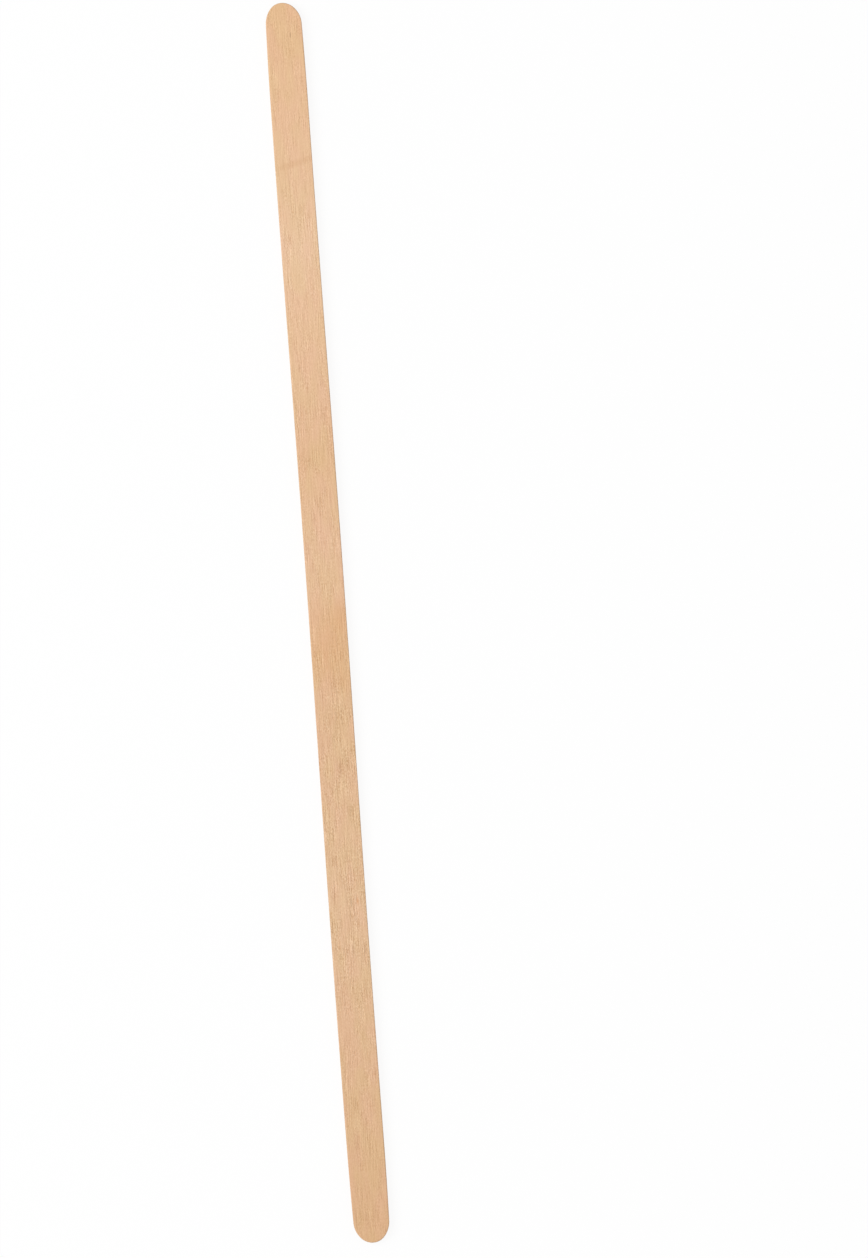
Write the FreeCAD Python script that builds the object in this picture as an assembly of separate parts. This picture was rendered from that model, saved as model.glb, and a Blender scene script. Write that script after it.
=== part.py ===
import FreeCAD, Part
import math
import os

# A flat wooden coffee stirrer: one slip punched out of rotary-cut birch veneer and tumbled smooth.
#
# It lies on one of its broad faces. The origin is the middle of that face, +Y runs along the
# grain, +X runs across the stick and +Z points up. Both ends are alike.
# All sizes are in millimetres.

# Overall sizes of the slip.
LENGTH = 178.0
WIDTH = 5.4
THICKNESS = 1.3

# Each end is a full nose, a little longer than a half circle. The arc round the tip is tighter
# than half the width, and the arc at each shoulder is wider than half the width.
TIP_TIGHTER_BY = 0.45
SHOULDER_WIDER_BY = 0.7

# The sides are straight along the middle. Towards each end they draw in on one long arc, which
# starts this far from the tip and would be in by the relief when it got there.
FLANK_REACH = 15.0
FLANK_RELIEF = 0.19

# Tumbling rounds the sharp corner between each broad face and the punched wall.
EASED_EDGE = 0.17

ORIGIN = FreeCAD.Vector(0, 0, 0)
ACROSS = FreeCAD.Vector(1, 0, 0)
ALONG = FreeCAD.Vector(0, 1, 0)
UP = FreeCAD.Vector(0, 0, 1)


def towards(centre, target, radius):
    """The point at this radius from centre, in the direction of target."""
    return centre + (target - centre).normalize() * radius


def arc(centre, radius, start, end):
    """The arc of less than half a turn about centre, from start to end."""
    middle = towards(centre, (start + end) * 0.5, radius)
    return Part.Arc(start, middle, end).toShape()


def circles_meet(left_centre, left_radius, right_centre, right_radius):
    """The lower of the two points where one circle meets another that lies to its right."""
    apart = left_centre.distanceToPoint(right_centre)
    rightward = (right_centre - left_centre).normalize()
    downward = rightward.cross(UP)
    reach = (left_radius**2 - right_radius**2 + apart**2) / (2 * apart)
    drop = math.sqrt(left_radius**2 - reach**2)
    return left_centre + rightward * reach + downward * drop


def right_side():
    """The straight middle of the right side, from the lower end to the upper."""
    half_run = LENGTH / 2 - FLANK_REACH
    lower = FreeCAD.Vector(WIDTH / 2, -half_run, 0)
    upper = FreeCAD.Vector(WIDTH / 2, half_run, 0)
    return Part.LineSegment(lower, upper).toShape()


def upper_end():
    """The edges round the upper end, from the top of the right side over to the left side.

    The shoulder arc runs inside the long flank arc and round the small tip arc, and touches
    both. So its centre lies off each of theirs by the difference of the two radii.
    """
    tip_radius = WIDTH / 2 - TIP_TIGHTER_BY
    shoulder_radius = WIDTH / 2 + SHOULDER_WIDER_BY
    flank_radius = (FLANK_REACH**2 + FLANK_RELIEF**2) / (2 * FLANK_RELIEF)

    flank_start = FreeCAD.Vector(WIDTH / 2, LENGTH / 2 - FLANK_REACH, 0)
    flank_centre = flank_start - ACROSS * flank_radius
    tip_centre = ALONG * (LENGTH / 2 - tip_radius)
    shoulder_centre = circles_meet(
        flank_centre, flank_radius - shoulder_radius, tip_centre, shoulder_radius - tip_radius
    )

    flank_end = towards(flank_centre, shoulder_centre, flank_radius)
    tip_start = towards(shoulder_centre, tip_centre, shoulder_radius)
    tip_end = FreeCAD.Vector(-tip_start.x, tip_start.y, 0)

    flank = arc(flank_centre, flank_radius, flank_start, flank_end)
    shoulder = arc(shoulder_centre, shoulder_radius, flank_end, tip_start)
    tip = arc(tip_centre, tip_radius, tip_start, tip_end)
    left_half = [edge.mirror(ORIGIN, ACROSS) for edge in (shoulder, flank)]
    return [flank, shoulder, tip, *left_half]


def outline():
    """The closed outline of the slip, seen from above, where each half is the other turned round."""
    half = [right_side(), *upper_end()]
    other_half = [edge.rotated(ORIGIN, UP, 180) for edge in half]
    return Part.Wire(half + other_half)


def lies_flat(edge):
    """Whether an edge keeps to one height, as the edges round the broad faces do."""
    return edge.BoundBox.ZLength < THICKNESS / 2


def stirrer():
    """The whole stick, with both broad faces eased into the wall all the way round."""
    slip = Part.Face(outline()).extrude(UP * THICKNESS)
    face_edges = [edge for edge in slip.Edges if lies_flat(edge)]
    return slip.makeFillet(EASED_EDGE, face_edges)


os.makedirs("parts", exist_ok=True)
stick = stirrer()
stick.exportStep("parts/stirrer.step")
box = stick.optimalBoundingBox()
print("stirrer: valid", stick.isValid(), "closed", stick.isClosed(), "faces", len(stick.Faces))
print("volume mm3", round(stick.Volume, 2), "size mm", box.XLength, box.YLength, box.ZLength)
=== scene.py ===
"""A flat wooden coffee stirrer, laid on a pale floor under soft studio light.

The stick is one slip of rotary-cut birch veneer, punched to shape and tumbled smooth. It lies on
a broad face with its middle at the origin, its grain along Y and its thickness along Z.

Lengths are in metres, and one that a maker would give in millimetres is written times MM. A place
on the stick is given by how far it is down from the upper tip and to the right of the centre line.
"""

import logging
import math
from collections.abc import Mapping
from dataclasses import dataclass
from enum import Enum
from typing import Any

import bpy
import numpy as np
from mathutils import Matrix, Vector

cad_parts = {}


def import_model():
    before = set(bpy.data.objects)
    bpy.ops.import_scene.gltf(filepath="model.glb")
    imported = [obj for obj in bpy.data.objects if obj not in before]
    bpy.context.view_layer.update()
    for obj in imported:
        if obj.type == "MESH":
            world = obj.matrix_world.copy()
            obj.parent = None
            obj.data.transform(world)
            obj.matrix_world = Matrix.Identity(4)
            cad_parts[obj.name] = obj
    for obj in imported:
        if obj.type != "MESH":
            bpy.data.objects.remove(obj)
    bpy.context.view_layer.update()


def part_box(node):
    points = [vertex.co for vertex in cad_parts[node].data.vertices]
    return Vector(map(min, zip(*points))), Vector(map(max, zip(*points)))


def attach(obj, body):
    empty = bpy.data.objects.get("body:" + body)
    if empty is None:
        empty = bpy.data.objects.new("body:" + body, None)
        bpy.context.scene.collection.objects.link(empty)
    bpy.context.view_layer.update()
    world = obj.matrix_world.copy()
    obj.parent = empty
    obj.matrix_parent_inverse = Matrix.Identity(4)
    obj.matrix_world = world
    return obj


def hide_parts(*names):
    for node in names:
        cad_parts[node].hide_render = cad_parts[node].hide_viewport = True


MM = 0.001
LOG = logging.getLogger("coffee_stirrer")


class Region(Enum):
    """The parts of the slip's skin, as the face attribute "region" numbers them."""

    UPPER_FACE = 0
    WALL = 1
    LOWER_FACE = 2


class Spread(Enum):
    """The seeds that spread the vessel lines, one for each broad face."""

    UPPER_FACE = 11
    LOWER_FACE = 42


def linear(colour: str) -> tuple[float, float, float, float]:
    """Turns an sRGB hex colour into the linear values that a shader takes.

    Args:
        colour: Six hex digits after a hash sign.

    Returns:
        Red, green, blue and an alpha of 1.
    """
    shares = [int(colour[i : i + 2], 16) / 255 for i in (1, 3, 5)]
    return (*(s / 12.92 if s <= 0.04045 else ((s + 0.055) / 1.055) ** 2.4 for s in shares), 1.0)


def add(
    tree: bpy.types.NodeTree,
    kind: str,
    inputs: Mapping[int | str, Any] | None = None,
    **settings: Any,
) -> bpy.types.Node:
    """Adds a node with its settings, its values and its links.

    Args:
        tree: The tree that the node goes into.
        kind: The node's type, as Blender names it.
        inputs: What goes into each input, by place or by name: a value, a socket, or a node for
            its first output. Of several inputs with one name, the one in use is meant.
        **settings: The node's own properties.

    Returns:
        The new node.
    """
    node = tree.nodes.new(kind)
    for name, setting in settings.items():
        setattr(node, name, setting)
    for key, given in (inputs or {}).items():
        in_use = [s for s in node.inputs if s.enabled and s.name == key]
        target = in_use[0] if in_use else node.inputs[key]
        if isinstance(given, bpy.types.Node):
            given = next(s for s in given.outputs if s.enabled)
        if isinstance(given, bpy.types.NodeSocket):
            tree.links.new(given, target)
        else:
            target.default_value = given
    return node


def new_tree(name: str, sockets: Mapping[str, str]) -> tuple[bpy.types.NodeTree, bpy.types.Node]:
    """Starts a tree of geometry nodes that gives out one geometry.

    Args:
        name: What the tree is called.
        sockets: The named inputs, each with its kind, such as Float or Material.

    Returns:
        The tree and its input node.
    """
    tree = bpy.data.node_groups.new(name, "GeometryNodeTree")
    for label, kind in sockets.items():
        tree.interface.new_socket(name=label, in_out="INPUT", socket_type=f"NodeSocket{kind}")
    tree.interface.new_socket(name="Geometry", in_out="OUTPUT", socket_type="NodeSocketGeometry")
    return tree, tree.nodes.new("NodeGroupInput")


def cleared_tree(owner: bpy.types.Material | bpy.types.World) -> bpy.types.NodeTree:
    """Gives a material or a world a tree of nodes with nothing in it yet.

    Args:
        owner: The material or the world.

    Returns:
        Its tree.
    """
    owner.use_nodes = True
    owner.node_tree.nodes.clear()
    return owner.node_tree


def put_in_scene(name: str, data: bpy.types.ID) -> bpy.types.Object:
    """Makes an object at the origin and links it to the scene.

    Args:
        name: What the object is called.
        data: Its mesh, curve, camera or lamp.

    Returns:
        The object.
    """
    made = bpy.data.objects.new(name, data)
    bpy.context.scene.collection.objects.link(made)
    return made


def noise_along_grain(
    tree: bpy.types.NodeTree, place: Any, across: float, along: float, detail: float = 1.0
) -> bpy.types.Node:
    """Adds noise that is drawn out along the grain of the wood, which runs along Y.

    Args:
        tree: The tree that needs the noise.
        place: The place on the stick.
        across: How wide its blotches are across the grain.
        along: How long they are along it.
        detail: How many layers of finer noise are laid over them.

    Returns:
        The node that holds the noise, 0.5 on average.
    """
    finely = (1 / across, 1 / along, 1 / across)
    near = add(tree, "ShaderNodeVectorMath", {0: place, 1: finely}, operation="MULTIPLY")
    return add(tree, "ShaderNodeTexNoise", {"Vector": near, "Scale": 1.0, "Detail": detail})


# The camera and the studio.


@dataclass(frozen=True)
class OverheadCamera:
    """The camera of the photograph: straight above, far off and long, so nothing tapers.

    The pixels are those of the 868 by 1258 picture.
    """

    frame_px: tuple[float, float] = (868.0, 1258.0)
    stick_centre_px: tuple[float, float] = (327.55, 622.75)
    stick_length_px: float = 1242.7
    lean: float = math.radians(4.155)
    lens_mm: float = 200.0
    sensor_mm: float = 36.0

    def place(self, low: Vector, high: Vector) -> bpy.types.Object:
        """Makes the camera and hangs it over the stick.

        Args:
            low: The lowest corner of the stick.
            high: The highest corner of the stick.

        Returns:
            The camera.
        """
        pixel = (high.y - low.y) / self.stick_length_px
        width, height = self.frame_px
        aside = (width / 2 - self.stick_centre_px[0]) * pixel
        above = (self.stick_centre_px[1] - height / 2) * pixel
        rightward = Vector((math.cos(self.lean), -math.sin(self.lean), 0))
        upward = Vector((math.sin(self.lean), math.cos(self.lean), 0))
        backward = Vector((0, 0, 1))
        distance = height * pixel * self.lens_mm / self.sensor_mm
        middle = (low + high) / 2
        eye = middle + rightward * aside + upward * above + backward * distance
        data = bpy.data.cameras.new("overhead")
        data.lens = self.lens_mm
        data.sensor_width = self.sensor_mm
        camera = put_in_scene("overhead", data)
        turn = Matrix((rightward, upward, backward)).transposed().to_4x4()
        camera.matrix_world = Matrix.Translation(eye) @ turn
        bpy.context.scene.camera = camera
        bpy.context.scene.view_settings.view_transform = "Standard"
        return camera


@dataclass(frozen=True)
class MattWhiteBoard:
    """Board painted matt white, which sends light back evenly and has no shine.

    To the eye and to mirrors it is plain white, and to the light that it returns a little less
    so. The stick's shadow on it is made as light as a second, frontal lamp would make it.
    """

    colour: str = "#E8E8E8"
    shadow_lift: float = 0.9

    def dress(self) -> bpy.types.Material:
        """Makes the finish.

        Returns:
            The material.
        """
        board = bpy.data.materials.new("matt_white_board")
        tree = cleared_tree(board)
        path = add(tree, "ShaderNodeLightPath")
        shown = path.outputs["Is Camera Ray"]
        for ray in ("Is Glossy Ray", "Is Transmission Ray"):
            either = {0: shown, 1: path.outputs[ray]}
            shown = add(tree, "ShaderNodeMath", either, operation="MAXIMUM")
        colours = {"Factor": shown, "A": linear(self.colour), "B": linear("#FFFFFF")}
        colour = add(tree, "ShaderNodeMix", colours, data_type="RGBA")
        lift = add(tree, "ShaderNodeMath", {0: shown, 1: self.shadow_lift}, operation="MULTIPLY")
        matt = add(tree, "ShaderNodeBsdfDiffuse", {"Color": colour})
        glow = add(tree, "ShaderNodeEmission", {"Strength": 1.0})
        both = add(tree, "ShaderNodeMixShader", {0: lift, 1: matt, 2: glow})
        add(tree, "ShaderNodeOutputMaterial", {"Surface": both})
        return board


@dataclass(frozen=True)
class Studio:
    """A white floor under one broad lamp, high and to the left, with white light all round.

    The lamp and the surrounding light together bring a white, level surface just to white.
    """

    around: float = 0.62
    lamp_share: float = 0.38
    lamp_place: tuple[float, float, float] = (-0.8, 0.12, 0.9)
    lamp_size: float = 0.8
    floor_size: float = 7.0
    board: MattWhiteBoard = MattWhiteBoard()

    def build(self) -> bpy.types.Object:
        """Makes the world, the lamp and the floor.

        Returns:
            The floor.
        """
        self.light_world()
        self.hang_lamp()
        return self.lay_floor()

    def light_world(self) -> None:
        """Lights the scene evenly from all round, and shows white where nothing stands."""
        world = bpy.data.worlds.new("white_room")
        tree = cleared_tree(world)
        seen = add(tree, "ShaderNodeLightPath").outputs["Is Camera Ray"]
        level = {"Value": seen, "To Min": self.around, "To Max": 1.0}
        strength = add(tree, "ShaderNodeMapRange", level)
        light = add(tree, "ShaderNodeBackground", {"Color": linear("#FFFFFF"), "Strength": strength})
        add(tree, "ShaderNodeOutputWorld", {"Surface": light})
        bpy.context.scene.world = world

    def hang_lamp(self) -> None:
        """Hangs the lamp and points it at the stick.

        Its power is worked out so that it adds its share of white on a level surface. All of white
        takes the square of pi times the distance, over the steepness of the light.
        """
        place = Vector(self.lamp_place)
        steepness = place.z / place.length
        data = bpy.data.lights.new("broad_lamp", "AREA")
        data.shape = "SQUARE"
        data.size = self.lamp_size
        data.energy = self.lamp_share * (math.pi * place.length) ** 2 / steepness
        lamp = put_in_scene("broad_lamp", data)
        lamp.location = place
        lamp.rotation_euler = place.to_track_quat("Z", "Y").to_euler()

    def lay_floor(self) -> bpy.types.Object:
        """Lays the floor on which the stick rests.

        Returns:
            The floor.
        """
        half = self.floor_size / 2
        corners = [(-half, -half, 0), (half, -half, 0), (half, half, 0), (-half, half, 0)]
        mesh = bpy.data.meshes.new("floor")
        mesh.from_pydata(corners, [], [(0, 1, 2, 3)])
        mesh.materials.append(self.board.dress())
        return put_in_scene("floor", mesh)


# The outline that the punch cuts.


@dataclass(frozen=True)
class NaturalSway:
    """How far this slip strays from a ruler's edge, as dried veneer does."""

    reach: float = 0.075 * MM
    wave: float = 115 * MM
    first_crossing: float = 50 * MM
    upper_tip_skew: float = -0.16 * MM
    lower_tip_skew: float = 0.07 * MM
    skewed_end: float = 3 * MM

    def at(self, down: float, length: float) -> float:
        """Finds how far the centre line strays to the right.

        Args:
            down: The distance from the upper tip.
            length: The length of the stick.

        Returns:
            The distance to the right.
        """
        sway = self.reach * math.sin(math.tau * (down - self.first_crossing) / self.wave)
        upper = max(0.0, 1 - down / self.skewed_end) ** 2
        lower = max(0.0, 1 - (length - down) / self.skewed_end) ** 2
        return sway + self.upper_tip_skew * upper + self.lower_tip_skew * lower


@dataclass(frozen=True)
class PunchedOutline:
    """The outline that the punch cuts: straight sides, drawn-in flanks, shoulders and tips.

    The arc round the tip is tighter than half the width and the arc at each shoulder is wider.
    """

    length: float
    width: float
    tip_tighter_by: float = 0.45 * MM
    shoulder_wider_by: float = 0.7 * MM
    flank_reach: float = 15 * MM
    flank_relief: float = 0.19 * MM
    chord: float = 0.08 * MM
    straight_step: float = 1 * MM
    sway: NaturalSway = NaturalSway()

    @property
    def tip_radius(self) -> float:
        """The radius of the arc round each tip."""
        return self.width / 2 - self.tip_tighter_by

    @property
    def tip_centre(self) -> Vector:
        """The centre of the arc round the upper tip."""
        return Vector((0, self.length / 2 - self.tip_radius))

    def arc(self, centre: Vector, radius: float, start: Vector, end: Vector) -> list[Vector]:
        """Finds points along an arc of less than half a turn, its start left out.

        Args:
            centre: The centre of the arc.
            radius: Its radius.
            start: A point in the direction of its start.
            end: A point in the direction of its end.

        Returns:
            The points, about a chord apart.
        """
        first = math.atan2(start.y - centre.y, start.x - centre.x)
        last = math.atan2(end.y - centre.y, end.x - centre.x)
        count = max(2, math.ceil(abs(last - first) * radius / self.chord))
        turns = [first + (last - first) * i / count for i in range(1, count + 1)]
        return [centre + Vector((math.cos(t), math.sin(t))) * radius for t in turns]

    def upper_quarter(self) -> list[Vector]:
        """Finds the right side's points from the end of its straight run up to the tip arc.

        The shoulder arc touches the long flank arc and the small tip arc from within, so its
        centre lies off each of theirs by the difference of the two radii.

        Returns:
            The points of the flank and the shoulder.
        """
        shoulder_radius = self.width / 2 + self.shoulder_wider_by
        flank_radius = (self.flank_reach**2 + self.flank_relief**2) / (2 * self.flank_relief)
        start = Vector((self.width / 2, self.length / 2 - self.flank_reach))
        flank_centre = start - Vector((flank_radius, 0))
        off_flank = flank_radius - shoulder_radius
        off_tip = shoulder_radius - self.tip_radius
        rightward = self.tip_centre - flank_centre
        apart = rightward.length
        rightward.normalize()
        downward = Vector((rightward.y, -rightward.x))
        reach = (off_flank**2 - off_tip**2 + apart**2) / (2 * apart)
        drop = math.sqrt(off_flank**2 - reach**2)
        centre = flank_centre + rightward * reach + downward * drop
        meets_tip = centre + (self.tip_centre - centre).normalized() * shoulder_radius
        flank = self.arc(flank_centre, flank_radius, start, centre)
        return [start, *flank, *self.arc(centre, shoulder_radius, flank[-1], meets_tip)]

    def stretches(self) -> tuple[list[Vector], list[Vector]]:
        """Finds the two stretches that make half the outline.

        Returns:
            The right side from the lower tip arc to the upper, and the arc round the upper tip.
        """
        quarter = self.upper_quarter()
        run = quarter[0].y
        steps = math.ceil(2 * run / self.straight_step)
        straight = [Vector((self.width / 2, -run + 2 * run * i / steps)) for i in range(1, steps)]
        lower_quarter = [Vector((p.x, -p.y)) for p in reversed(quarter)]
        mirrored = Vector((-quarter[-1].x, quarter[-1].y))
        tip = self.arc(self.tip_centre, self.tip_radius, quarter[-1], mirrored)
        return [*lower_quarter, *straight, *quarter], [quarter[-1], *tip]

    def side_share(self) -> float:
        """Finds how much of the way round one side is, from tip arc to tip arc.

        Returns:
            The share, a little under a half.
        """
        side, tip = (sum((b - a).length for a, b in zip(s, s[1:])) for s in self.stretches())
        return side / (2 * side + 2 * tip)

    def draw(self) -> bpy.types.Object:
        """Draws the outline as a closed curve that starts at the lower end of the right side.

        Returns:
            The curve's object, linked to the scene.
        """
        side, tip = self.stretches()
        half = [*side[:-1], *tip[:-1]]
        points = [*half, *(-p for p in half)]
        data = bpy.data.curves.new("punched_outline", "CURVE")
        data.dimensions = "3D"
        spline = data.splines.new("POLY")
        spline.points.add(len(points) - 1)
        for target, p in zip(spline.points, points):
            stray = self.sway.at(self.length / 2 - p.y, self.length)
            target.co = (p.x + stray, p.y, 0, 1)
        spline.use_cyclic_u = True
        return put_in_scene("punched_outline", data)


# What the peeling knife and the tumbler leave on the wood.


@dataclass(frozen=True)
class BusyStretch:
    """A stretch along the stick where the knife has opened the wood more than elsewhere.

    A share below zero makes the stretch calmer instead. It is felt in full near the middle and
    fades out a little past the ends, both given as shares of the half length.
    """

    down: float
    half_length: float
    share: float
    full_within: float = 0.5
    gone_beyond: float = 1.3


@dataclass(frozen=True)
class VesselLines:
    """The water vessels of the wood, which the peeling knife opens into fine grooves.

    Each is a bowed line just over the face. Where the wood is nearer to it than its radius, it
    leaves a groove, deepest in the middle and running out at both ends. Real ones are under 0.1 mm
    wide, which is too fine to show, so these are drawn up to twice as wide.
    """

    radius: float = 0.11 * MM
    depth: float = 0.04 * MM
    per_square_mm: float = 0.9
    shortest: float = 1.0 * MM
    longest: float = 3.2 * MM
    tilt: float = math.radians(2.5)
    highest: float = 0.07 * MM
    bow: float = 0.08 * MM
    points: int = 7
    patch_across: float = 1.4 * MM
    patch_along: float = 3.5 * MM
    calm_below: float = 0.38
    busy_above: float = 0.62
    calmest_patch: float = 0.58
    busiest_patch: float = 1.42
    quietest: float = 0.55
    busy: tuple[BusyStretch, ...] = (
        BusyStretch(19 * MM, 7 * MM, -0.12),
        BusyStretch(37 * MM, 7 * MM, 0.12),
        BusyStretch(58 * MM, 12 * MM, 0.1),
        BusyStretch(80 * MM, 12 * MM, 0.08),
        BusyStretch(120 * MM, 28 * MM, 0.34),
        BusyStretch(130 * MM, 8 * MM, 0.1),
        BusyStretch(153 * MM, 12 * MM, 0.08),
    )

    def tree(self, length: float) -> bpy.types.NodeTree:
        """Builds the tree that spreads vessel lines over a flat face.

        Args:
            length: The length of the stick.

        Returns:
            The tree, with inputs for the face and the seed.
        """
        tree, given = new_tree("vessel_lines", {"Face": "Geometry", "Seed": "Int"})
        seed = given.outputs["Seed"]
        per_square_metre = {0: self.busyness(tree, length), 1: self.per_square_mm / MM**2}
        density = add(tree, "ShaderNodeMath", per_square_metre, operation="MULTIPLY")
        spread = {"Mesh": given.outputs["Face"], "Density": density, "Seed": seed}
        points = add(tree, "GeometryNodeDistributePointsOnFaces", spread)

        # One seed gives each line its height and its length alike, so a long one lies high and
        # its groove is shallow.
        high = {"Max": self.highest, "Seed": seed}
        height = add(tree, "FunctionNodeRandomValue", high, data_type="FLOAT")
        lift = add(tree, "ShaderNodeCombineXYZ", {"Z": height})
        raised = add(tree, "GeometryNodeSetPosition", {"Geometry": points, "Offset": lift})
        turned = {"Min": (0, 0, -self.tilt), "Max": (0, 0, self.tilt), "Seed": seed}
        turn = add(tree, "FunctionNodeRandomValue", turned, data_type="FLOAT_VECTOR")
        sized = {"Min": self.shortest, "Max": self.longest, "Seed": seed}
        size = add(tree, "FunctionNodeRandomValue", sized, data_type="FLOAT")
        laid = {
            "Points": raised,
            "Instance": self.stroke(tree),
            "Rotation": turn,
            "Scale": add(tree, "ShaderNodeCombineXYZ", {"X": 1.0, "Y": size, "Z": 1.0}),
        }
        strokes = add(tree, "GeometryNodeInstanceOnPoints", laid)
        real = add(tree, "GeometryNodeRealizeInstances", {"Geometry": strokes})
        add(tree, "NodeGroupOutput", {"Geometry": real})
        return tree

    def busyness(self, tree: bpy.types.NodeTree, length: float) -> bpy.types.Node:
        """Adds how strongly the knife has opened the wood, patch by patch, stretch by stretch.

        Args:
            tree: The tree that needs it.
            length: The length of the stick.

        Returns:
            The node that holds it, around 1 where the wood is busiest.
        """
        place = add(tree, "GeometryNodeInputPosition")
        spreading = {
            "Value": noise_along_grain(tree, place, self.patch_across, self.patch_along),
            "From Min": self.calm_below,
            "From Max": self.busy_above,
            "To Min": self.calmest_patch,
            "To Max": self.busiest_patch,
        }
        patchy = add(tree, "ShaderNodeMapRange", spreading)
        along = add(tree, "ShaderNodeSeparateXYZ", {0: place}).outputs["Y"]
        share = self.quietest
        for stretch in self.busy:
            middle = length / 2 - stretch.down
            off = add(tree, "ShaderNodeMath", {0: along, 1: middle}, operation="SUBTRACT")
            away = add(tree, "ShaderNodeMath", {0: off}, operation="ABSOLUTE")
            fading = {
                "Value": away,
                "From Min": stretch.half_length * stretch.gone_beyond,
                "From Max": stretch.half_length * stretch.full_within,
                "To Max": stretch.share,
            }
            more = add(tree, "ShaderNodeMapRange", fading, interpolation_type="SMOOTHSTEP")
            share = add(tree, "ShaderNodeMath", {0: more, 1: share}, operation="ADD")
        return add(tree, "ShaderNodeMath", {0: share, 1: patchy}, operation="MULTIPLY")

    def stroke(self, tree: bpy.types.NodeTree) -> bpy.types.Node:
        """Adds one bowed line of unit length along Y, lowest in the middle.

        Args:
            tree: The tree that spreads the vessels.

        Returns:
            The node of the line.
        """
        even = {
            "Count": self.points,
            "Start Location": (0, -0.5, 0),
            "Offset": (0, 1 / (self.points - 1), 0),
        }
        line = add(tree, "GeometryNodeMeshLine", even)
        place = add(tree, "GeometryNodeInputPosition")
        along = add(tree, "ShaderNodeSeparateXYZ", {0: place}).outputs["Y"]

        # The ends are half a unit off the middle. Four times the square of that is 1, so there
        # the line has risen by its whole bow.
        square = add(tree, "ShaderNodeMath", {0: along, 1: along}, operation="MULTIPLY")
        rise = add(tree, "ShaderNodeMath", {0: square, 1: 4 * self.bow}, operation="MULTIPLY")
        upward = add(tree, "ShaderNodeCombineXYZ", {"Z": rise})
        return add(tree, "GeometryNodeSetPosition", {"Geometry": line, "Offset": upward})


@dataclass(frozen=True)
class DeepVessel:
    """One vessel that lies deeper than the rest and shows as a dark line with a bright rim."""

    down: float
    right: float
    long: float

    def line(self, tree: bpy.types.NodeTree, length: float, top: Any) -> bpy.types.Node:
        """Adds the vessel as a straight line on the upper face.

        Args:
            tree: The tree that makes the slip.
            length: The length of the stick.
            top: The height of the upper face.

        Returns:
            The node of the line.
        """
        middle = length / 2 - self.down
        low, high = (
            add(tree, "ShaderNodeCombineXYZ", {"X": self.right, "Y": middle + end, "Z": top})
            for end in (-self.long / 2, self.long / 2)
        )
        ends = {"Count": 2, "Start Location": low, "Offset": high}
        return add(tree, "GeometryNodeMeshLine", ends, mode="END_POINTS")


@dataclass(frozen=True)
class RaisedGrain:
    """The wavy run of the fibres, and how they stand up where the knife has lifted them.

    They are highest where the noise that stands for them is at most proud_below, and lowest where
    it is at least sunk_above.
    """

    depth: float = 0.08 * MM
    across: float = 0.15 * MM
    along: float = 2 * MM
    detail: float = 1.5
    proud_below: float = 0.25
    sunk_above: float = 0.75
    wave: float = 0.45 * MM
    wave_across: float = 2.5 * MM
    wave_along: float = 5 * MM

    def run(self, tree: bpy.types.NodeTree) -> bpy.types.Node:
        """Adds the place on the stick as the fibres have it, which sways a little across them.

        Args:
            tree: The tree that makes the slip.

        Returns:
            The node that holds the place.
        """
        place = add(tree, "GeometryNodeInputPosition")
        noise = noise_along_grain(tree, place, self.wave_across, self.wave_along, detail=0.0)
        centred = add(tree, "ShaderNodeMath", {0: noise, 1: 0.5}, operation="SUBTRACT")
        sway = add(tree, "ShaderNodeMath", {0: centred, 1: self.wave}, operation="MULTIPLY")
        aside = add(tree, "ShaderNodeCombineXYZ", {"X": sway})
        return add(tree, "ShaderNodeVectorMath", {0: place, 1: aside}, operation="ADD")

    def hollow(self, tree: bpy.types.NodeTree, run: Any) -> bpy.types.Node:
        """Adds how far the skin lies below the highest fibres, from 0 to 1.

        Args:
            tree: The tree that makes the slip.
            run: The place as the fibres have it.

        Returns:
            The node that holds it.
        """
        noise = noise_along_grain(tree, run, self.across, self.along, self.detail)
        spread = {"Value": noise, "From Min": self.proud_below, "From Max": self.sunk_above}
        return add(tree, "ShaderNodeMapRange", spread)


@dataclass(frozen=True)
class PunchedWall:
    """The upright wall round the slip, with the ridges that the punch tears down it."""

    depth: float = 0.03 * MM
    apart: float = 0.5 * MM
    through: float = 2.5 * MM
    detail: float = 3.0

    def hollow(self, tree: bpy.types.NodeTree) -> bpy.types.Node:
        """Adds how far the wall lies behind its proudest ridges, from 0 to 1.

        Args:
            tree: The tree that makes the slip.

        Returns:
            The node that holds it.
        """
        place = add(tree, "GeometryNodeInputPosition")
        finely = (1 / self.apart, 1 / self.apart, 1 / self.through)
        near = add(tree, "ShaderNodeVectorMath", {0: place, 1: finely}, operation="MULTIPLY")
        torn = {"Vector": near, "Scale": 1.0, "Detail": self.detail}
        return add(tree, "ShaderNodeTexNoise", torn)


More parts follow.
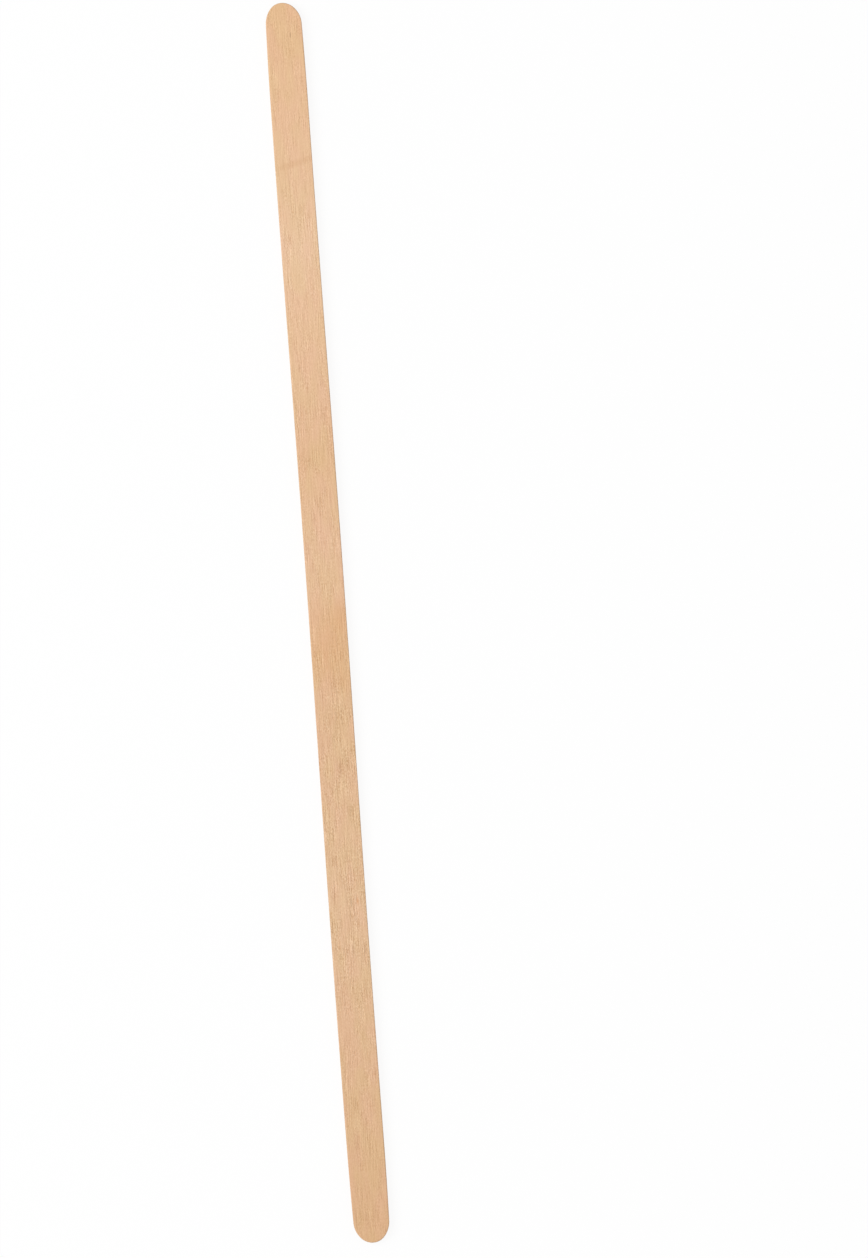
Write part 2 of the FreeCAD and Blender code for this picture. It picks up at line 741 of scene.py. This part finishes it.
@dataclass(frozen=True)
class FoldedMap:
    """The stick's own map for baked colours: its long skin, unrolled and folded in three.

    Each third is a lane of four strips that lie in the order in which they meet on the stick: the
    upper face, the right wall, the lower face and the left wall.
    """

    name: str = "OFBake"
    thirds: int = 3
    gap: float = 0.008

    def lay(self, mesh: bpy.types.Mesh, length: float, width: float, rise: float, side: float) -> None:
        """Gives the mesh its map.

        Args:
            mesh: The stick's mesh, with the attributes region, around and over.
            length: The length of the stick.
            width: The greatest width of a broad face.
            rise: The way over the wall, from face to face.
            side: The share of the way round that one side takes.
        """
        stored = mesh.attributes
        corner = self.read(mesh.loops, "vertex_index", int)
        first = self.read(mesh.polygons, "loop_start", int)
        count = np.diff(np.append(first, len(corner)))
        across, along, _ = self.read(mesh.vertices, "co", float, 3).reshape(-1, 3)[corner].T
        over = self.read(stored["over"].data, "value", float)[corner]
        around = self.read(stored["around"].data, "value", float)[corner]
        region = np.repeat(self.read(stored["region"].data, "value", int), count)

        # The way round runs from 0 at the lower tip over a half at the upper tip back to 1. A
        # face that lies across the lower tip has corners near both 0 and 1.
        way = (around + (0.5 - side) / 2) % 1.0
        furthest = np.repeat(np.maximum.reduceat(way, first), count)
        way = np.where(furthest - way > 0.5, way + 1, way)
        left = np.repeat(np.add.reduceat(way, first) / count, count) > 0.5

        wall = region == Region.WALL.value
        lower = region == Region.LOWER_FACE.value
        unrolled = np.select(
            [lower, wall & left, wall],
            [1.5 * width + rise - across, 2 * (width + rise) - over, width + over],
            width / 2 + across,
        )
        up = np.where(wall, np.where(left, 2 - 2 * way, 2 * way), along / length + 0.5)
        middle = np.repeat(np.add.reduceat(up, first) / count, count)
        third = np.clip(np.floor(middle * self.thirds), 0, self.thirds - 1)

        lane = 1 / self.thirds
        u = third * lane + self.gap + unrolled / (2 * (width + rise)) * (lane - 2 * self.gap)
        v = self.gap + (up * self.thirds - third) * (1 - 2 * self.gap)
        layer = mesh.uv_layers.new(name=self.name, do_init=False)
        layer.data.foreach_set("uv", np.stack([u, v], 1).ravel())

    def read(self, items: Any, name: str, kind: type, width: int = 1) -> np.ndarray:
        """Reads one property of many things at once.

        Args:
            items: The mesh's corners, faces or points, or the values of an attribute.
            name: The property's name.
            kind: What its numbers are.
            width: How many numbers each item has.

        Returns:
            All the numbers in a row.
        """
        values = np.empty(len(items) * width, kind)
        items.foreach_get(name, values)
        return values


# The stick.


@dataclass(frozen=True)
class VeneerSlip:
    """The stick itself: one slip of veneer with eased edges, opened vessels and a punched wall.

    How level the skin is runs from 1 on the broad faces to 0 on the wall. Below level_face it
    begins to count as wall, and at level_worn the tumbler has worn the raised grain away.
    """

    length: float
    width: float
    thickness: float
    eased_edge: float = 0.17 * MM
    level_face: float = 0.95
    level_worn: float = 0.6
    columns: int = 102
    rows: int = 425
    rim_share: float = 0.0001
    edge_steps: int = 3
    wall_steps: int = 3
    weld: float = 0.0002 * MM
    vessels: VesselLines = VesselLines()
    grain: RaisedGrain = RaisedGrain()
    wall: PunchedWall = PunchedWall()
    folded_map: FoldedMap = FoldedMap()
    deep: tuple[DeepVessel, ...] = (
        DeepVessel(4.6 * MM, 0.86 * MM, 0.5 * MM),
        DeepVessel(129.3 * MM, 1.36 * MM, 1.6 * MM),
        DeepVessel(136 * MM, 0.3 * MM, 1.4 * MM),
    )

    @property
    def outline(self) -> PunchedOutline:
        """The outline that the punch cuts for this slip."""
        return PunchedOutline(self.length, self.width)

    def profile(self) -> list[tuple[float, float, float]]:
        """Lists the rings from the rim of the upper face over the wall to the lower face.

        Returns:
            For each ring, how far it is in from the outline, its height over the floor and how
            far over the wall it is. The first is the rim of the upper face itself.
        """
        eased = self.eased_edge
        turns = [math.pi / 2 * i / self.edge_steps for i in range(self.edge_steps + 1)]
        upper = [
            (eased * (1 - math.sin(t)), self.thickness - eased * (1 - math.cos(t))) for t in turns
        ]
        drop = (self.thickness - 2 * eased) / self.wall_steps
        wall = [(0.0, upper[-1][1] - drop * i) for i in range(1, self.wall_steps)]
        lower = [(inset, self.thickness - height) for inset, height in reversed(upper)]
        rings, run = [], 0.0
        for inset, height in [*upper, *wall, *lower]:
            if rings:
                run += math.hypot(inset - rings[-1][0], height - rings[-1][1])
            rings.append((inset, height, run))
        return rings

    def tree(self) -> bpy.types.NodeTree:
        """Builds the tree that turns the outline into the slip.

        Returns:
            The tree, with inputs for the outline, the thickness and the wood.
        """
        sockets = {"Outline": "Object", "Thickness": "Float", "Wood": "Material"}
        tree, given = new_tree("veneer_slip", sockets)
        top = given.outputs["Thickness"]
        drawn = add(tree, "GeometryNodeObjectInfo", {"Object": given.outputs["Outline"]})
        outline = drawn.outputs["Geometry"]
        lower = self.flat_face(tree, outline)
        rise = add(tree, "ShaderNodeCombineXYZ", {"Z": top})
        upper = add(tree, "GeometryNodeSetPosition", {"Geometry": lower, "Offset": rise})
        skin = self.walled(tree, outline, upper)
        under = add(tree, "GeometryNodeFlipFaces", {"Mesh": lower})
        facts = (
            ("region", Region.LOWER_FACE.value, "INT", "FACE"),
            ("over", self.profile()[-1][2], "FLOAT", "POINT"),
        )
        for name, value, kind, domain in facts:
            told = {"Geometry": under, "Name": name, "Value": value}
            under = add(tree, "GeometryNodeStoreNamedAttribute", told, data_type=kind, domain=domain)
        both = add(tree, "GeometryNodeJoinGeometry")
        tree.links.new(skin.outputs[0], both.inputs[0])
        tree.links.new(under.outputs[0], both.inputs[0])
        welded = {"Geometry": both, "Distance": self.weld}
        whole = add(tree, "GeometryNodeMergeByDistance", welded)

        lines = add(tree, "GeometryNodeJoinGeometry")
        spread = self.vessels.tree(self.length)
        for face, seed in ((upper, Spread.UPPER_FACE), (lower, Spread.LOWER_FACE)):
            strokes = add(tree, "GeometryNodeGroup", node_tree=spread)
            tree.links.new(face.outputs[0], strokes.inputs["Face"])
            strokes.inputs["Seed"].default_value = seed.value
            tree.links.new(strokes.outputs[0], lines.inputs[0])
        for vessel in self.deep:
            line = vessel.line(tree, self.length, top)
            tree.links.new(line.outputs[0], lines.inputs[0])

        worn = self.worn(tree, whole, lines)
        smooth = add(tree, "GeometryNodeSetShadeSmooth", {0: worn, "Shade Smooth": True})
        real = add(tree, "GeometryNodeRealizeInstances", {"Geometry": smooth})
        dressed = {"Geometry": real, "Material": given.outputs["Wood"]}
        finished = add(tree, "GeometryNodeSetMaterial", dressed)
        add(tree, "NodeGroupOutput", {"Geometry": finished})
        return tree

    def flat_face(self, tree: bpy.types.NodeTree, outline: Any) -> bpy.types.Node:
        """Adds a grid whose rim is the outline, drawn in by the eased edge.

        The grid's two long sides follow the stick's sides and its two short ones bend round the
        tips. In between, its rows change slowly from the one bend to the other.

        Args:
            tree: The tree that makes the slip.
            outline: The closed outline.

        Returns:
            The node of the face, at height 0, with the attribute "around" on its rim.
        """
        squared = {
            "Size X": 1.0,
            "Size Y": 1.0,
            "Vertices X": self.columns + 1,
            "Vertices Y": self.rows + 1,
        }
        grid = add(tree, "GeometryNodeMeshGrid", squared).outputs["Mesh"]
        centred = add(tree, "GeometryNodeInputPosition")
        corner = {0: centred, 1: (0.5, 0.5, 0)}
        shares = add(tree, "ShaderNodeVectorMath", corner, operation="ADD")
        across, along, _ = add(tree, "ShaderNodeSeparateXYZ", {0: shares}).outputs
        side = self.outline.side_share()
        stretches = {
            "right": (along, 0.0, side),
            "upper": (across, 0.5, side),
            "left": (along, 0.5 + side, 0.5),
            "lower": (across, 0.5 + side, 1.0),
        }
        around = {
            name: add(tree, "ShaderNodeMapRange", {"Value": share, "To Min": start, "To Max": end})
            for name, (share, start, end) in stretches.items()
        }
        rim = {
            name: self.on_outline(tree, outline, factor, self.eased_edge)
            for name, factor in around.items()
        }
        row = {"Factor": across, "A": rim["left"], "B": rim["right"]}
        straight = add(tree, "ShaderNodeMix", row, data_type="VECTOR")
        bulges = []
        for name in ("lower", "upper"):
            _, start, end = stretches[name]
            first, last = (
                self.on_outline(tree, outline, factor, self.eased_edge) for factor in (start, end)
            )
            ends = {"Factor": across, "A": first, "B": last}
            chord = add(tree, "ShaderNodeMix", ends, data_type="VECTOR")
            standing = {0: rim[name], 1: chord}
            bulges.append(add(tree, "ShaderNodeVectorMath", standing, operation="SUBTRACT"))
        bending = {"Factor": along, "A": bulges[0], "B": bulges[1]}
        bend = add(tree, "ShaderNodeMix", bending, data_type="VECTOR")
        place = add(tree, "ShaderNodeVectorMath", {0: straight, 1: bend}, operation="ADD")

        # Each point on the grid's rim keeps how far round the outline it is. A share across or
        # along that is within rim_share of 0 or 1 tells which side of the rim the point is on.
        nearest = around["right"]
        edges = (("left", across, False), ("upper", along, True), ("lower", along, False))
        for name, share, far in edges:
            limit = {0: share, 1: 1 - self.rim_share if far else self.rim_share}
            test = "GREATER_THAN" if far else "LESS_THAN"
            there = add(tree, "ShaderNodeMath", limit, operation=test)
            choice = {"Factor": there, "A": nearest, "B": around[name]}
            nearest = add(tree, "ShaderNodeMix", choice, data_type="FLOAT")
        told = {"Geometry": grid, "Name": "around", "Value": nearest}
        marked = add(tree, "GeometryNodeStoreNamedAttribute", told, data_type="FLOAT", domain="POINT")
        return add(tree, "GeometryNodeSetPosition", {"Geometry": marked, "Position": place})

    def on_outline(
        self, tree: bpy.types.NodeTree, outline: Any, factor: Any, inset: float
    ) -> bpy.types.Node:
        """Adds a point that lies in from the outline.

        Args:
            tree: The tree that makes the slip.
            outline: The closed outline.
            factor: How far round the outline it is, from 0 to 1.
            inset: How far in from it.

        Returns:
            The node of the point.
        """
        sampled = {"Curves": outline, "Factor": factor}
        sample = add(tree, "GeometryNodeSampleCurve", sampled, mode="FACTOR")
        crossed = {0: sample.outputs["Tangent"], 1: (0, 0, 1)}
        outward = add(tree, "ShaderNodeVectorMath", crossed, operation="CROSS_PRODUCT")
        move = add(tree, "ShaderNodeVectorMath", {0: outward, "Scale": -inset}, operation="SCALE")
        place = {0: sample.outputs["Position"], 1: move}
        return add(tree, "ShaderNodeVectorMath", place, operation="ADD")

    def walled(self, tree: bpy.types.NodeTree, outline: Any, face: Any) -> bpy.types.Node:
        """Adds the eased edges and the wall, ring by ring, down from the rim of the upper face.

        Args:
            tree: The tree that makes the slip.
            outline: The closed outline.
            face: The upper face.

        Returns:
            The node of the face with its wall, open underneath.
        """
        # An edge on the rim belongs to fewer than two faces.
        neighbours = add(tree, "GeometryNodeInputMeshEdgeNeighbors")
        edge = add(tree, "ShaderNodeMath", {0: neighbours, 1: 2.0}, operation="LESS_THAN")
        told = {"Name": "around"}
        around = add(tree, "GeometryNodeInputNamedAttribute", told, data_type="FLOAT")
        mesh = face
        for inset, height, run in self.profile()[1:]:
            pulled = {"Mesh": mesh, "Selection": edge, "Offset Scale": 0.0}
            drawn = add(tree, "GeometryNodeExtrudeMesh", pulled, mode="EDGES")
            edge = drawn.outputs["Top"]
            level = {0: self.on_outline(tree, outline, around, inset), 1: (0, 0, height)}
            place = add(tree, "ShaderNodeVectorMath", level, operation="ADD")
            ring = {"Geometry": drawn.outputs["Mesh"], "Selection": edge, "Position": place}
            mesh = add(tree, "GeometryNodeSetPosition", ring)
            facts = (
                (drawn.outputs["Side"], "region", Region.WALL.value, "INT", "FACE"),
                (edge, "over", run, "FLOAT", "POINT"),
            )
            for where, name, value, kind, domain in facts:
                told = {"Geometry": mesh, "Selection": where, "Name": name, "Value": value}
                mesh = add(
                    tree, "GeometryNodeStoreNamedAttribute", told, data_type=kind, domain=domain
                )
        return mesh

    def worn(self, tree: bpy.types.NodeTree, skin: Any, lines: Any) -> bpy.types.Node:
        """Adds the grooves of the vessels and the low relief, all cut into the wood.

        Args:
            tree: The tree that makes the slip.
            skin: The closed skin.
            lines: The vessel lines on both faces.

        Returns:
            The node of the finished skin, with the attributes that the finish reads: run, busy,
            pore, punched and end_grain.
        """
        normal = add(tree, "GeometryNodeInputNormal")
        near = add(tree, "GeometryNodeProximity", {"Geometry": lines}, target_element="EDGES")
        grooved = {
            "Value": near.outputs["Distance"],
            "From Max": self.vessels.radius,
            "To Min": 1.0,
            "To Max": 0.0,
        }
        groove = add(tree, "ShaderNodeMapRange", grooved, interpolation_type="SMOOTHSTEP")
        _, lengthwise, upright = add(tree, "ShaderNodeSeparateXYZ", {0: normal}).outputs
        level = add(tree, "ShaderNodeMath", {0: upright}, operation="ABSOLUTE")
        steep = {"Value": level, "From Max": self.level_face, "To Min": 1.0, "To Max": 0.0}
        wall = add(tree, "ShaderNodeMapRange", steep)
        endwise = add(tree, "ShaderNodeMath", {0: lengthwise}, operation="ABSOLUTE")
        run = self.grain.run(tree)
        busy = self.vessels.busyness(tree, self.length)
        flat = add(tree, "ShaderNodeMapRange", {"Value": level, "From Min": self.level_worn})
        rising = add(tree, "ShaderNodeMath", {0: busy, 1: flat}, operation="MULTIPLY")
        sunk = {0: self.grain.hollow(tree, run), 1: rising}
        lifted = add(tree, "ShaderNodeMath", sunk, operation="MULTIPLY")
        torn = add(tree, "ShaderNodeMath", {0: self.wall.hollow(tree), 1: wall}, operation="MULTIPLY")

        kept = (
            ("run", run, "FLOAT_VECTOR"),
            ("busy", busy, "FLOAT"),
            ("pore", groove, "FLOAT"),
            ("punched", wall, "FLOAT"),
            ("end_grain", endwise, "FLOAT"),
        )
        for name, value, kind in kept:
            told = {"Geometry": skin, "Name": name, "Value": value}
            skin = add(tree, "GeometryNodeStoreNamedAttribute", told, data_type=kind, domain="POINT")
        depth = 0.0
        depths = (self.vessels.depth, self.grain.depth, self.wall.depth)
        for share, deepest in zip((groove, lifted, torn), depths):
            deep = {0: share, 1: deepest, 2: depth}
            depth = add(tree, "ShaderNodeMath", deep, operation="MULTIPLY_ADD")
        inward = add(tree, "ShaderNodeMath", {0: depth, 1: -1.0}, operation="MULTIPLY")
        move = add(tree, "ShaderNodeVectorMath", {0: normal, "Scale": inward}, operation="SCALE")
        return add(tree, "GeometryNodeSetPosition", {"Geometry": skin, "Offset": move})

    def build(self, wood: bpy.types.Material) -> bpy.types.Object:
        """Makes the stick as a plain, closed mesh with its own map.

        Args:
            wood: The finish that the tree puts on the skin.

        Returns:
            The stick, at the origin.
        """
        drawn = self.outline.draw()
        stick = put_in_scene("veneer_stick", bpy.data.meshes.new("blank"))
        modifier = stick.modifiers.new("slip", "NODES")
        modifier.node_group = self.tree()
        sockets = modifier.node_group.interface.items_tree
        key = {socket.name: socket.identifier for socket in sockets if socket.in_out == "INPUT"}
        modifier[key["Outline"]] = drawn
        modifier[key["Thickness"]] = self.thickness
        modifier[key["Wood"]] = wood
        graph = bpy.context.evaluated_depsgraph_get()
        made = stick.evaluated_get(graph)
        mesh = bpy.data.meshes.new_from_object(made, preserve_all_data_layers=True, depsgraph=graph)
        stick.modifiers.clear()
        stick.data = mesh
        mesh.name = "veneer_stick"
        bpy.data.objects.remove(drawn)
        widest = self.width + 2 * (self.outline.sway.reach - self.eased_edge)
        rise = self.profile()[-1][2]
        side = self.outline.side_share()
        self.folded_map.lay(mesh, self.length, widest, rise, side)
        return stick


# The finish.


@dataclass(frozen=True)
class WoodMark:
    """A natural mark in the wood of the upper face, such as a pin knot or a mineral stain."""

    down: float
    right: float
    along: float
    across: float
    colour: str
    strength: float
    turned: float = 0.0


@dataclass(frozen=True)
class WoodTone:
    """The plain colour of the wood at one place along the stick."""

    down: float
    colour: str


@dataclass(frozen=True)
class RotaryBirch:
    """Birch veneer, peeled off a turning log, punched dry and tumbled with no coating.

    It is pale and warm, paler where the sapwood was drier, with faint blushed and straw-coloured
    zones that run with the grain. The fibres show as hair-fine streaks, the opened vessels as
    short brown dashes, and the punched ends as darker end grain. The wall and its eased edges
    carry painted shade, a darker colour mixed in where they turn away from the face. Tumbling
    leaves it matt.

    A birch fibre is 0.02 mm wide and a vessel under 0.1 mm, which is too fine to show, so the
    streaks and the pits are drawn as wide as bundles of them. A deep streak is warmer than a pale
    one: red swings less with the grain than green does and blue more, as warming says.
    """

    tones: tuple[WoodTone, ...] = (
        WoodTone(0.0, "#EBBE91"),
        WoodTone(25 * MM, "#EDC49C"),
        WoodTone(35 * MM, "#F1CAA6"),
        WoodTone(45 * MM, "#EDC49C"),
        WoodTone(57 * MM, "#EABF98"),
        WoodTone(66 * MM, "#E6BB8F"),
        WoodTone(78 * MM, "#EBC09C"),
        WoodTone(87 * MM, "#E8BE95"),
        WoodTone(105 * MM, "#E4BA92"),
        WoodTone(130 * MM, "#E7C099"),
        WoodTone(178 * MM, "#DDAF83"),
    )
    blush: str = "#EDBB9B"
    straw: str = "#E4C08E"
    zone_share: float = 0.3
    zone_across: float = 1.8 * MM
    zone_along: float = 5 * MM
    blush_below: float = 0.35
    straw_above: float = 0.65
    cloud_across: float = 0.7 * MM
    cloud_along: float = 2.5 * MM
    cloud_depth: float = 0.042
    fibre_across: float = 0.13 * MM
    fibre_along: float = 3.2 * MM
    fibre_depth: float = 0.64
    pit_across: float = 0.12 * MM
    pit_along: float = 0.3 * MM
    pit_depth: float = 0.8
    warming: tuple[float, float, float] = (0.71, 1.0, 1.35)
    vessel: str = "#C08A58"
    vessel_share: float = 0.16
    end_grain: str = "#BE8F62"
    end_share: float = 0.75
    # Painted shade: the wall and its eased edges are mixed towards this darker colour.
    painted_wall_shade: str = "#D2A67C"
    painted_wall_shade_share: float = 0.5
    ior: float = 1.5
    roughness: float = 0.66
    roughness_swing: float = 0.12
    bump: float = 0.06 * MM
    mark_core: float = 0.1
    marks: tuple[WoodMark, ...] = (
        WoodMark(4.7 * MM, 0.9 * MM, 0.65 * MM, 0.13 * MM, "#86684E", 0.4),
        WoodMark(23.1 * MM, 0.0, 0.8 * MM, 4.5 * MM, "#C8925E", 0.21, math.radians(14.5)),
        WoodMark(52.3 * MM, -1.3 * MM, 0.3 * MM, 0.22 * MM, "#A87C58", 0.25),
        WoodMark(77 * MM, -1.2 * MM, 0.32 * MM, 0.2 * MM, "#A87C58", 0.25),
        WoodMark(92.5 * MM, 0.2 * MM, 8.5 * MM, 5.5 * MM, "#DFA366", 0.27, math.radians(-8)),
        WoodMark(88.5 * MM, 1.8 * MM, 3.4 * MM, 1.8 * MM, "#DAA366", 0.25),
        WoodMark(97.5 * MM, 1.9 * MM, 3 * MM, 1.4 * MM, "#DAA366", 0.2),
        WoodMark(95.5 * MM, 0.26 * MM, 0.5 * MM, 0.3 * MM, "#B88450", 0.2),
        WoodMark(129.2 * MM, 0.5 * MM, 1.5 * MM, 0.14 * MM, "#8E6C4C", 0.35, math.radians(1.7)),
        WoodMark(129 * MM, 1.4 * MM, 0.7 * MM, 0.3 * MM, "#E0A26A", 0.45),
        WoodMark(136 * MM, 0.3 * MM, 1.2 * MM, 0.14 * MM, "#8E6C4C", 0.35),
    )

    def dress(self, length: float, thickness: float) -> bpy.types.Material:
        """Makes the finish.

        Args:
            length: The length of the stick.
            thickness: The thickness of the stick.

        Returns:
            The material.
        """
        material = bpy.data.materials.new("rotary_cut_birch_veneer")
        tree = cleared_tree(material)
        place = add(tree, "ShaderNodeTexCoord").outputs["Object"]
        paler, pits = self.grain(tree)
        plain = self.tone(tree, place, length)
        warmed = {0: paler, 1: self.warming, 2: (1.0, 1.0, 1.0)}
        gain = add(tree, "ShaderNodeVectorMath", warmed, operation="MULTIPLY_ADD")
        grained = add(tree, "ShaderNodeVectorMath", {0: plain, 1: gain}, operation="MULTIPLY")
        run = add(tree, "ShaderNodeAttribute", attribute_name="run").outputs["Vector"]
        colour = self.marked(tree, run, grained, length, thickness)
        opened = self.worked(tree, colour)
        swing = {0: pits, 1: -self.roughness_swing, 2: self.roughness}
        rough = add(tree, "ShaderNodeMath", swing, operation="MULTIPLY_ADD")
        raised = add(tree, "ShaderNodeBump", {"Height": pits, "Distance": self.bump})
        surface = {"Base Color": opened, "Roughness": rough, "IOR": self.ior, "Normal": raised}
        shader = add(tree, "ShaderNodeBsdfPrincipled", surface)
        add(tree, "ShaderNodeOutputMaterial", {"Surface": shader})
        return material

    def tone(self, tree: bpy.types.NodeTree, place: Any, length: float) -> bpy.types.Node:
        """Adds the plain colour of the wood, which deepens down the stick and shifts in zones.

        Args:
            tree: The material's tree.
            place: The place on the stick.
            length: The length of the stick.

        Returns:
            The node that holds the colour.
        """
        along = add(tree, "ShaderNodeSeparateXYZ", {0: place}).outputs["Y"]
        measured = {"Value": along, "From Min": length / 2, "From Max": -length / 2}
        down = add(tree, "ShaderNodeMapRange", measured)
        ramp = add(tree, "ShaderNodeValToRGB", {0: down})
        first, last = ramp.color_ramp.elements
        first.color = linear(self.tones[0].colour)
        last.color = linear(self.tones[-1].colour)
        for tone in self.tones[1:-1]:
            ramp.color_ramp.elements.new(tone.down / length).color = linear(tone.colour)
        zones = noise_along_grain(tree, place, self.zone_across, self.zone_along)
        sides = {"Value": zones, "From Min": self.blush_below, "From Max": self.straw_above}
        share = add(tree, "ShaderNodeMapRange", sides)
        hues = {"Factor": share, "A": linear(self.blush), "B": linear(self.straw)}
        hue = add(tree, "ShaderNodeMix", hues, data_type="RGBA")
        mixed = {"Factor": self.zone_share, "A": ramp, "B": hue}
        return add(tree, "ShaderNodeMix", mixed, data_type="RGBA")

    def grain(self, tree: bpy.types.NodeTree) -> tuple[bpy.types.Node, bpy.types.Node]:
        """Adds the light and dark of the grain: broad clouds, fibres and the pits between them.

        Args:
            tree: The material's tree.

        Returns:
            How much paler or deeper each place is, around 0, and how high the rims of the pits
            stand. Both swing more where the knife has opened the wood.
        """
        run = add(tree, "ShaderNodeAttribute", attribute_name="run").outputs["Vector"]
        busy = add(tree, "ShaderNodeAttribute", attribute_name="busy").outputs["Fac"]
        gain = 0.0
        layers = (
            (self.cloud_across, self.cloud_along, self.cloud_depth, 1.0),
            (self.fibre_across, self.fibre_along, self.fibre_depth, busy),
            (self.pit_across, self.pit_along, self.pit_depth, busy),
        )
        for across, along, depth, where in layers:
            noise = noise_along_grain(tree, run, across, along)
            centred = add(tree, "ShaderNodeMath", {0: noise, 1: 0.5}, operation="SUBTRACT")
            there = add(tree, "ShaderNodeMath", {0: centred, 1: where}, operation="MULTIPLY")
            swing = {0: there, 1: depth, 2: gain}
            gain = add(tree, "ShaderNodeMath", swing, operation="MULTIPLY_ADD")
        return gain, there

    def marked(
        self, tree: bpy.types.NodeTree, place: Any, colour: Any, length: float, thickness: float
    ) -> bpy.types.Node:
        """Adds the natural marks, each a soft spot that sinks into the wood from the upper face.

        A mark is at its strongest in its core, and fades from there to its edge.

        Args:
            tree: The material's tree.
            place: The place on the stick.
            colour: The colour so far.
            length: The length of the stick.
            thickness: The thickness of the stick.

        Returns:
            The node that holds the colour with its marks.
        """
        for mark in self.marks:
            spot = {
                "Vector": place,
                "Location": (mark.right, length / 2 - mark.down, thickness),
                "Rotation": (0, 0, mark.turned),
                "Scale": (mark.across, mark.along, max(mark.across, thickness / 2)),
            }
            near = add(tree, "ShaderNodeMapping", spot, vector_type="TEXTURE")
            away = add(tree, "ShaderNodeVectorMath", {0: near}, operation="LENGTH")
            fading = {
                "Value": away,
                "From Min": 1.0,
                "From Max": self.mark_core,
                "To Max": mark.strength,
            }
            share = add(tree, "ShaderNodeMapRange", fading, interpolation_type="SMOOTHSTEP")
            mixed = {"Factor": share, "A": colour, "B": linear(mark.colour)}
            colour = add(tree, "ShaderNodeMix", mixed, data_type="RGBA")
        return colour

    def worked(self, tree: bpy.types.NodeTree, colour: Any) -> bpy.types.Node:
        """Adds the opened vessels, the end grain and painted shade on the wall and eased edges.

        Args:
            tree: The material's tree.
            colour: The colour so far.

        Returns:
            The node that holds the colour with opened vessels, painted wall shade and end grain.
        """
        pore, wall, end = (
            add(tree, "ShaderNodeAttribute", attribute_name=name).outputs["Fac"]
            for name in ("pore", "punched", "end_grain")
        )
        endwise = add(tree, "ShaderNodeMath", {0: wall, 1: end}, operation="MULTIPLY")
        # The second layer is painted shade, darkening the wall and its eased edges.
        layers = (
            (pore, self.vessel_share, self.vessel),
            (wall, self.painted_wall_shade_share, self.painted_wall_shade),
            (endwise, self.end_share, self.end_grain),
        )
        for where, most, deeper in layers:
            share = add(tree, "ShaderNodeMath", {0: where, 1: most}, operation="MULTIPLY")
            mixed = {"Factor": share, "A": colour, "B": linear(deeper)}
            colour = add(tree, "ShaderNodeMix", mixed, data_type="RGBA")
        return colour


def main() -> None:
    """Builds the camera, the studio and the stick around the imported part."""
    logging.basicConfig(level=logging.INFO, format="%(name)s: %(message)s")
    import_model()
    low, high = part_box("stirrer")
    size = high - low

    OverheadCamera().place(low, high)
    Studio().build()
    LOG.info("camera and studio stand round a stick of %.2f by %.2f by %.2f mm", *(size / MM))

    wood = RotaryBirch().dress(size.y, size.z)
    stick = VeneerSlip(size.y, size.x, size.z).build(wood)
    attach(stick, "root")
    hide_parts("stirrer")
    LOG.info("%s has %d faces and wears %s", stick.name, len(stick.data.polygons), wood.name)


if __name__ == "__main__":
    main()
